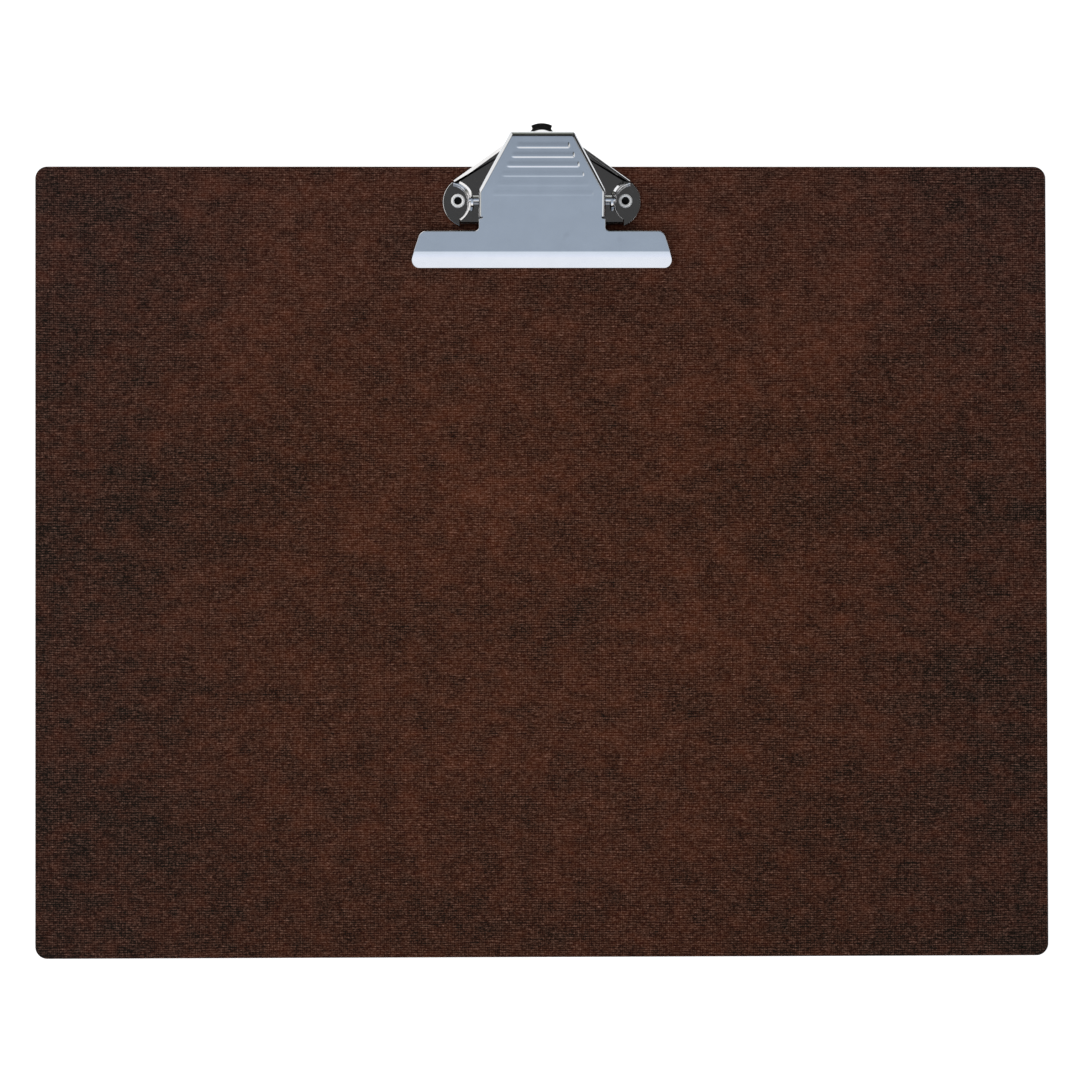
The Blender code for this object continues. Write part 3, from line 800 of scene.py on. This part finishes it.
def make_spring():
    """Coils with their legs, and the bail under the lever with the part of the coils it turns."""
    sweep = 270 - (90 + BAIL_SLOPE) + 360 * COIL_TURNS
    leg_z = FLOOR_TOP + GAP + WIRE_RADIUS - PIN_Z
    start = coil_point(sweep, 0)
    leg = between((start[0], LEG_LENGTH, leg_z), start, 10)[:-1]
    coil = leg + [coil_point(sweep, t) for t in spread(0, sweep, 8)]
    hold = [coil_point(sweep, t) for t in spread(sweep - BAIL_HOLD, sweep, 7.5)]
    x, y, z = hold[-1]
    slope = radians(BAIL_SLOPE)
    bend = 2 * WIRE_RADIUS
    bail = list(hold)
    for along, across in arc((0, 0), bend, 0, 90, 8):
        run = BAIL_LENGTH - bend + across
        bail.append((x - (bend - along), y + run * cos(slope), z + run * sin(slope)))
    bail += [(-px, py, pz) for px, py, pz in reversed(bail)]
    coils = tube("spring_coils", [coil, [(-px, py, pz) for px, py, pz in coil]], WIRE_RADIUS)
    return coils, tube("spring_bail", [bail], WIRE_RADIUS + 0.01 * MM)


# ---------------------------------------------------------------- materials


class Paint:
    """Builds one procedural material around its Principled shader."""

    def __init__(self, name, **sockets):
        self.material = bpy.data.materials.new(name)
        self.material.use_nodes = True
        self.tree = self.material.node_tree
        self.shader = self.tree.nodes["Principled BSDF"]
        for key, value in sockets.items():
            self.shader.inputs[key.replace("_", " ")].default_value = value
        self.place = self.tree.nodes.new("ShaderNodeTexCoord").outputs["Object"]

    def put(self, socket, value):
        if isinstance(value, bpy.types.NodeSocket):
            self.tree.links.new(value, socket)
        elif isinstance(value, (tuple, list)) and len(value) == 3 and socket.type == "RGBA":
            socket.default_value = (*value, 1)
        else:
            socket.default_value = value

    def math(self, operation, a, b=0.0, c=0.0):
        node = self.tree.nodes.new("ShaderNodeMath")
        node.operation = operation
        for socket, value in zip(node.inputs, (a, b, c)):
            self.put(socket, value)
        return node.outputs[0]

    def total(self, *terms):
        """Sum of value times weight over (value, weight) pairs."""
        result = 0.0
        for value, weight in terms:
            result = self.math("MULTIPLY_ADD", value, weight, result)
        return result

    def vector(self, operation, a, b):
        node = self.tree.nodes.new("ShaderNodeVectorMath")
        node.operation = operation
        self.put(node.inputs[0], a)
        self.put(node.inputs[3] if operation == "SCALE" else node.inputs[1], b)
        return node.outputs[1] if operation == "LENGTH" else node.outputs[0]

    def joined(self, x, y, z):
        node = self.tree.nodes.new("ShaderNodeCombineXYZ")
        for socket, value in zip(node.inputs, (x, y, z)):
            self.put(socket, value)
        return node.outputs[0]

    def stretched(self, x, y, z):
        """Coordinates in which one unit is this many millimetres along each axis."""
        scale = (1 / (x * MM), 1 / (y * MM), 1 / (z * MM))
        return self.vector("MULTIPLY", self.place, scale)

    def noise(self, size, detail=0.0, rough=0.5, offset=0.0):
        """Smooth noise around zero, mostly within -1 to 1. Size is (x, y, z) in millimetres."""
        place = self.vector("ADD", self.stretched(*size), (offset, offset * 2, offset * 3))
        node = self.tree.nodes.new("ShaderNodeTexNoise")
        node.inputs["Scale"].default_value = 1.0
        node.inputs["Detail"].default_value = detail
        node.inputs["Roughness"].default_value = rough
        self.put(node.inputs["Vector"], place)
        return self.math("MULTIPLY_ADD", node.outputs["Fac"], 4.0, -2.0)

    def split(self, place):
        node = self.tree.nodes.new("ShaderNodeSeparateXYZ")
        self.put(node.inputs[0], place)
        return node.outputs

    def ramp(self, value, low, high):
        """Smooth step from 0 at the low value to 1 at the high one."""
        node = self.tree.nodes.new("ShaderNodeMapRange")
        node.interpolation_type = "SMOOTHSTEP"
        for socket, number in zip(node.inputs, (value, low, high)):
            self.put(socket, number)
        return node.outputs[0]

    def mix(self, factor, a, b):
        node = self.tree.nodes.new("ShaderNodeMix")
        node.data_type = "RGBA"
        self.put(node.inputs[0], factor)
        self.put(node.inputs[6], a)
        self.put(node.inputs[7], b)
        return node.outputs[2]

    def bump(self, height, depth, strength=1.0):
        """Height is in units of depth, which is in millimetres."""
        node = self.tree.nodes.new("ShaderNodeBump")
        node.inputs["Strength"].default_value = strength
        node.inputs["Distance"].default_value = depth * MM
        self.put(node.inputs["Height"], height)
        self.put(self.shader.inputs["Normal"], node.outputs[0])

    def give(self, *pieces):
        for piece in pieces:
            piece.data.materials.clear()
            piece.data.materials.append(self.material)


MESH_X = 1.31  # pitch of the imprint in millimetres
MESH_Y = 1.58
FINE_X = 0.61 * MESH_X
FINE_Y = 0.57 * MESH_Y
BOARD_DARK = (0.0182, 0.0106, 0.0044)
BOARD_RED = (0.0735, 0.0192, 0.0090)
BOARD_EDGE = (0.022, 0.013, 0.009)
# fibre texture with a painted sheen: the fine noise adds this colour, brightening specks as glints would
BOARD_FIBRE_SHEEN = (0.044, 0.0245, 0.0180)
BOARD_PORE = (0.0050, 0.0030, 0.0014)
BOARD_SIDE_FADE = (-0.0130, -0.0026, 0.0004)  # added to the colour towards the board's sides
BOARD_TOP_SHEEN = (0.0030, 0.0018, 0.0027)  # painted sheen, added to the colour towards its top edge in place of the bright sky's reflection


def paint_hardboard():
    """Tempered hardboard: mesh imprint, short fibres and red-brown mottling over near-black, with painted
    sheen on the fine texture and towards the top edge.
    """
    p = Paint("hardboard_face", Roughness=0.6, Specular_IOR_Level=0.12)
    drift = p.noise((14, 14, 14), 2.0, offset=3.0)
    sway = p.noise((26, 5, 9), 1.0, offset=41.0)
    x, y, z = p.split(p.stretched(1, 1, 1))
    u = p.math("MULTIPLY_ADD", drift, 0.10, x)
    v = p.math("MULTIPLY_ADD", sway, 0.45, p.math("MULTIPLY_ADD", x, 0.004, y))
    wire_x = p.math("SINE", p.math("MULTIPLY", u, 2 * pi / MESH_X))
    wire_y = p.math("SINE", p.math("MULTIPLY", v, 2 * pi / MESH_Y))
    fine_x = p.math("SINE", p.math("MULTIPLY", u, 2 * pi / FINE_X))
    fine_y = p.math("SINE", p.math("MULTIPLY", v, 2 * pi / FINE_Y))
    knots = p.math("MULTIPLY", wire_x, wire_y)
    imprint = p.total((wire_x, 0.10), (wire_y, 0.08), (fine_x, 0.24), (fine_y, 0.50), (knots, 0.10))

    grain = p.noise((0.8, 0.5, 0.6), 1.0, 0.6, offset=7.0)
    fibre = p.noise((3.2, 0.55, 1.0), 1.0, 0.6, offset=11.0)
    flecks = p.noise((1.9, 1.3, 1.5), 1.0, offset=17.0)
    blots = p.noise((8.5, 6, 7), 2.0, 0.6, offset=23.0)
    clouds = p.noise((70, 45, 60), 2.0, 0.5, offset=31.0)
    side = p.ramp(p.math("ABSOLUTE", x), 80, 195)
    low = p.ramp(y, -40, -145)
    top = p.ramp(y, 40, 150)

    red = p.ramp(p.total((blots, 0.5), (clouds, 0.35), (flecks, 0.15)), -3.2, 3.2)
    color = p.mix(red, BOARD_DARK, BOARD_RED)
    broad = p.math("EXPONENT", p.total((blots, 0.27), (clouds, 0.14), (low, -0.14)))
    color = p.vector("SCALE", color, broad)
    fine = p.total((imprint, 0.85), (grain, 0.85), (fibre, 0.36), (flecks, 0.24))
    # painted sheen: the fine texture's bright specks add the fibre colour, standing in for glints on the
    # fibres
    glint = p.math("SUBTRACT", p.math("EXPONENT", fine), 1.0)
    color = p.vector("ADD", color, p.vector("SCALE", BOARD_FIBRE_SHEEN, glint))
    color = p.vector("ADD", color, p.vector("SCALE", BOARD_SIDE_FADE, side))
    # painted sheen: greyer colour towards the top edge
    color = p.vector("ADD", color, p.vector("SCALE", BOARD_TOP_SHEEN, top))
    color = p.vector("MAXIMUM", color, BOARD_PORE)
    rim = p.ramp(z, FRONT_Z / MM - 0.25, FRONT_Z / MM - 0.02)
    back = p.ramp(z, 0.25, 0.02)
    face = p.math("MAXIMUM", rim, back)
    p.put(p.shader.inputs["Base Color"], p.mix(face, BOARD_EDGE, color))
    p.put(p.shader.inputs["Roughness"], p.total((blots, 0.05), (grain, 0.04), (1.0, 0.58)))
    p.bump(p.total((imprint, 0.5), (grain, 0.35), (fibre, 0.3)), 0.035, 0.7)
    return p


def paint_metal(name, color, rough, streaks, wave, fine, end_darkening=0.0):
    """Plated steel: faint waves of the pressing, rubbed streaks, haze and small pits."""
    p = Paint(name, Metallic=1.0)
    haze = p.noise((9, 7, 8), 3.0, 0.6, offset=2.0)
    rub = p.noise((0.16, 9, 4), 1.0, offset=5.0)
    pits = p.noise((0.35, 0.35, 0.35), 0.0, offset=9.0)
    smudge = p.ramp(p.noise((7, 6, 7), 1.0, offset=19.0), 0.75, 1.3)
    pit = p.ramp(pits, 1.15, 1.6)
    tone = p.total((haze, 0.03), (rub, 0.006), (pit, -0.12), (smudge, -0.05), (1.0, 1.0))
    # darker towards the lever's finger end, by this share of the colour
    if end_darkening:
        end = p.ramp(p.split(p.place)[1], EDGE_Y - 16 * MM, EDGE_Y + 6 * MM)
        tone = p.math("MULTIPLY_ADD", end, -end_darkening, tone)
    p.put(p.shader.inputs["Base Color"], p.vector("SCALE", color, tone))
    p.put(p.shader.inputs["Roughness"], p.total((haze, 0.02), (rub, streaks), (1.0, rough)))
    swell = p.noise((11, 9, 10), 0.0, offset=13.0)
    p.bump(p.total((swell, wave), (rub, fine), (pits, fine)), 0.01)
    return p


def paint_rivet():
    """Soft aluminium with a matt oxide skin, and painted shade in the bore: its wall and floor near-black.
    """
    p = Paint("rivet_soft_aluminium", Metallic=0.25, Specular_IOR_Level=0.4)
    haze = p.noise((1.6, 1.4, 1.5), 3.0, 0.6, offset=2.0)
    dents = p.noise((0.4, 0.4, 0.4), 1.0, offset=9.0)
    x, y, z = p.split(p.place)
    from_x = p.math("SUBTRACT", p.math("ABSOLUTE", x), RIVET_X)
    from_y = p.math("SUBTRACT", y, RIVET_Y + EDGE_Y)
    from_axis = p.vector("LENGTH", p.joined(from_x, from_y, 0.0), (0, 0, 0))
    # painted shade: near-black colour on the bore's wall and floor, where the deep hole lies in shade
    inside = p.ramp(from_axis, RIVET_BORE + 0.12 * MM, RIVET_BORE)
    above = p.ramp(z, RIVET_BORE_FLOOR - 0.2 * MM, RIVET_BORE_FLOOR - 0.1 * MM)
    bore = p.math("MULTIPLY", inside, above)
    tone = p.total((haze, 0.05), (dents, 0.04), (1.0, 1.0))
    bright = p.vector("SCALE", (0.78, 0.78, 0.78), tone)
    p.put(p.shader.inputs["Base Color"], p.mix(bore, bright, (0.012, 0.012, 0.012)))
    p.put(p.shader.inputs["Roughness"], p.total((haze, 0.04), (bore, 0.3), (1.0, 0.42)))
    p.bump(p.total((dents, 0.4), (haze, 0.5)), 0.012, 0.6)
    return p


# ---------------------------------------------------------------- light, floor, camera


def grey(level):
    return (level, level, level)


# The sky on each side: its colour at angles from the zenith in degrees. All are dark overhead.
ZENITH = grey(0.072)
SOUTH = [(0, (0.072, 0.074, 0.078)), (1, (0.08, 0.085, 0.09)), (5, (0.38, 0.44, 0.53))]
SOUTH += [(26, (0.43, 0.50, 0.60)), (48, (0.50, 0.58, 0.69)), (63, (1.05, 1.13, 1.25))]
SOUTH += [(68, (1.11, 1.16, 1.33)), (73, (1.17, 1.22, 1.35)), (78, (1.32, 1.29, 1.23))]
SOUTH += [(90, (1.36, 1.32, 1.22))]
NORTH = [(0, ZENITH), (9, ZENITH), (13, grey(0.008)), (44, grey(0.008))]
NORTH += [(48, (0.30, 0.31, 0.26)), (90, (0.36, 0.37, 0.32))]
NORTH_EAST = [(0, ZENITH), (12, ZENITH), (15, grey(0.02)), (30, grey(0.03)), (34, grey(0.55))]
NORTH_EAST += [(38, grey(0.03)), (58, grey(0.05)), (62, grey(0.3)), (66, grey(0.03)), (90, grey(0.04))]
EAST = [(0, ZENITH), (8, grey(0.02)), (80, grey(0.03)), (86, grey(0.9)), (90, grey(1.0))]
WEST = [(0, ZENITH), (9, ZENITH), (12, grey(0.012)), (22, grey(0.012))]
WEST += [(25, (1.35, 1.33, 1.30)), (90, (1.35, 1.33, 1.30))]
BELOW = 1.0
SOUTH_TURN = radians(12)  # the bright side's middle, west of south
GLOW_AT = (45, 50)  # degrees east of south and from the zenith
GLOW_REACH = (20, 11)


def sky_ramp(tree, angle, stops):
    node = tree.nodes.new("ShaderNodeValToRGB")
    ramp = node.color_ramp
    while len(ramp.elements) > 1:
        ramp.elements.remove(ramp.elements[-1])
    ramp.elements[0].position = stops[0][0] / 90
    ramp.elements[0].color = (*stops[0][1], 1)
    for at, color in stops[1:]:
        element = ramp.elements.new(at / 90)
        element.color = (*color, 1)
    tree.links.new(angle, node.inputs[0])
    return node.outputs[0]


def make_sky():
    """Studio round the object: dark above, soft blue-grey in front, white to the left and low down."""
    world = bpy.data.worlds.new("studio")
    bpy.context.scene.world = world
    world.use_nodes = True
    tree = world.node_tree

    def math(operation, a, b=0.0):
        node = tree.nodes.new("ShaderNodeMath")
        node.operation = operation
        for socket, value in zip(node.inputs, (a, b)):
            if isinstance(value, bpy.types.NodeSocket):
                tree.links.new(value, socket)
            else:
                socket.default_value = value
        return node.outputs[0]

    def mask(angle, low, high):
        node = tree.nodes.new("ShaderNodeMapRange")
        node.interpolation_type = "SMOOTHSTEP"
        tree.links.new(angle, node.inputs[0])
        node.inputs[1].default_value = low
        node.inputs[2].default_value = high
        return node.outputs[0]

    def mixed(factor, a, b):
        node = tree.nodes.new("ShaderNodeMix")
        node.data_type = "RGBA"
        tree.links.new(factor, node.inputs[0])
        for socket, value in ((node.inputs[6], a), (node.inputs[7], b)):
            if isinstance(value, bpy.types.NodeSocket):
                tree.links.new(value, socket)
            else:
                socket.default_value = value
        return node.outputs[2]

    toward = tree.nodes.new("ShaderNodeVectorMath")
    toward.operation = "NORMALIZE"
    tree.links.new(tree.nodes.new("ShaderNodeTexCoord").outputs["Generated"], toward.inputs[0])
    parts = tree.nodes.new("ShaderNodeSeparateXYZ")
    tree.links.new(toward.outputs[0], parts.inputs[0])
    x, y, z = parts.outputs
    tilt = math("MULTIPLY", math("ARCCOSINE", z), 180 / pi)
    share = math("DIVIDE", tilt, 90.0)
    squares = math("ADD", math("MULTIPLY", x, x), math("MULTIPLY", y, y))
    level = math("MAXIMUM", math("SQRT", squares), 0.001)
    east = math("DIVIDE", x, level)
    north = math("DIVIDE", y, level)
    color = sky_ramp(tree, share, NORTH)
    to_east = math("MULTIPLY", mask(east, 0.76, 0.88), mask(north, -0.35, -0.1))
    south_part = math("MULTIPLY", north, -cos(SOUTH_TURN))
    to_south = math("ADD", math("MULTIPLY", east, -sin(SOUTH_TURN)), south_part)
    to_west = math("MULTIPLY", mask(math("MULTIPLY", east, -1.0), 0.12, 0.3), mask(north, -0.5, -0.25))
    color = mixed(mask(east, 0.15, 0.35), color, sky_ramp(tree, share, NORTH_EAST))
    color = mixed(to_east, color, sky_ramp(tree, share, EAST))
    color = mixed(to_west, color, sky_ramp(tree, share, WEST))
    color = mixed(mask(to_south, 0.66, 0.82), color, sky_ramp(tree, share, SOUTH))
    turn, drop = radians(GLOW_AT[0]), radians(GLOW_AT[1])
    aimed = tree.nodes.new("ShaderNodeVectorMath")
    aimed.operation = "DOT_PRODUCT"
    tree.links.new(toward.outputs[0], aimed.inputs[0])
    aimed.inputs[1].default_value = (sin(turn) * sin(drop), -cos(turn) * sin(drop), cos(drop))
    glow = mask(aimed.outputs["Value"], cos(radians(GLOW_REACH[0])), cos(radians(GLOW_REACH[1])))
    color = mixed(glow, color, (1.3, 1.3, 1.3, 1))
    color = mixed(mask(tilt, 90, 92), color, (*grey(BELOW), 1))
    tree.links.new(color, tree.nodes["Background"].inputs[0])


FLOOR_HALF = 4.0
FLOOR_Z = -0.1 * MM
FLOOR_GLOW = 0.85


def make_floor():
    """White paper under the board, lit by itself so that it stays white."""
    mesh = bpy.data.meshes.new("floor")
    corners = [(-1, -1), (1, -1), (1, 1), (-1, 1)]
    mesh.from_pydata([(x * FLOOR_HALF, y * FLOOR_HALF, FLOOR_Z) for x, y in corners], [], [(0, 1, 2, 3)])
    floor = bpy.data.objects.new("floor", mesh)
    bpy.context.scene.collection.objects.link(floor)
    white = bpy.data.materials.new("white_paper")
    white.use_nodes = True
    shader = white.node_tree.nodes["Principled BSDF"]
    shader.inputs["Base Color"].default_value = (0.6, 0.6, 0.6, 1)
    shader.inputs["Roughness"].default_value = 0.9
    shader.inputs["Specular IOR Level"].default_value = 0.0
    shader.inputs["Emission Color"].default_value = (1, 1, 1, 1)
    shader.inputs["Emission Strength"].default_value = FLOOR_GLOW
    mesh.materials.append(white)


LAMP_HEIGHT = 0.5
LAMP_SIZE = 0.32
LAMP_POWER = 1.05


def soft_light(name, at, toward, size, power):
    """A large lamp that lights rough surfaces and isn't seen in polished ones."""
    data = bpy.data.lights.new(name, "AREA")
    data.shape = "SQUARE"
    data.size = size
    data.energy = power
    lamp = bpy.data.objects.new(name, data)
    bpy.context.scene.collection.objects.link(lamp)
    lamp.location = at
    lamp.rotation_mode = "QUATERNION"
    lamp.rotation_quaternion = (Vector(toward) - Vector(at)).to_track_quat("-Z", "Y")
    lamp.visible_glossy = False
    lamp.visible_camera = False


# The camera looks nearly straight down at the board, from a little to the left.
CAMERA_DISTANCE = 1.5
CAMERA_SEEN_WIDTH = 0.42156  # width of the board's plane in the picture
CAMERA_AIM = (-0.0009, 0.0083)
CAMERA_AT = (-0.030, -0.0137)
CAMERA_ROLL = -0.11  # degrees


def make_camera():
    data = bpy.data.cameras.new("camera")
    data.sensor_width = 36.0
    data.clip_start = 0.05
    data.clip_end = 50.0
    camera = bpy.data.objects.new("camera", data)
    bpy.context.scene.collection.objects.link(camera)
    at = Vector((*CAMERA_AT, FRONT_Z + CAMERA_DISTANCE))
    aim = Vector((*CAMERA_AIM, FRONT_Z))
    data.lens = data.sensor_width * (aim - at).length / CAMERA_SEEN_WIDTH
    back = (at - aim).normalized()
    right = Vector((0, 1, 0)).cross(back).normalized()
    turn = Matrix((right, back.cross(right), back)).transposed().to_4x4()
    camera.matrix_world = Matrix.Translation(at) @ turn @ Matrix.Rotation(radians(CAMERA_ROLL), 4, "Z")
    bpy.context.scene.camera = camera


# ---------------------------------------------------------------- the whole


def place(piece, body, slot, *nodes):
    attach(piece, body)
    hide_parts(*nodes)


board = make_board()
base_plate = make_base_plate()
lever = make_lever_plate()
pin = make_pin()
rivets = [make_rivet(-1), make_rivet(1)]
coils, bail = make_spring()

paint_hardboard().give(board)
paint_metal("plate_chrome", (0.66, 0.66, 0.67), 0.10, 0.02, 3.0, 0.03).give(base_plate)
paint_metal("lever_satin_nickel", (0.63, 0.645, 0.665), 0.13, 0.01, 0.7, 0.015, 0.12).give(lever)
paint_metal("pin_bright_steel", (0.62, 0.62, 0.63), 0.16, 0.03, 0.1, 0.03).give(pin)
paint_rivet().give(*rivets)
paint_metal("spring_drawn_steel", (0.45, 0.45, 0.46), 0.3, 0.05, 0.1, 0.05).give(coils, bail)

place(board, "board_body", "hardboard", "board")
place(base_plate, "board_body", "base_chrome", "base_plate")
place(lever, "lever_body", "lever_nickel", "lever_plate")
place(pin, "board_body", "pin_steel", "hinge_pin")
place(rivets[0], "board_body", "rivet_nickel", "rivet_left")
place(rivets[1], "board_body", "rivet_nickel", "rivet_right")
place(coils, "board_body", "spring_steel", "torsion_spring")
place(bail, "lever_body", "spring_steel", "torsion_spring")

make_floor()
make_sky()
soft_light("overhead_softbox", (0, 0, LAMP_HEIGHT), (0, 0, 0), LAMP_SIZE, LAMP_POWER)
make_camera()
bpy.context.scene.view_settings.view_transform = "Standard"
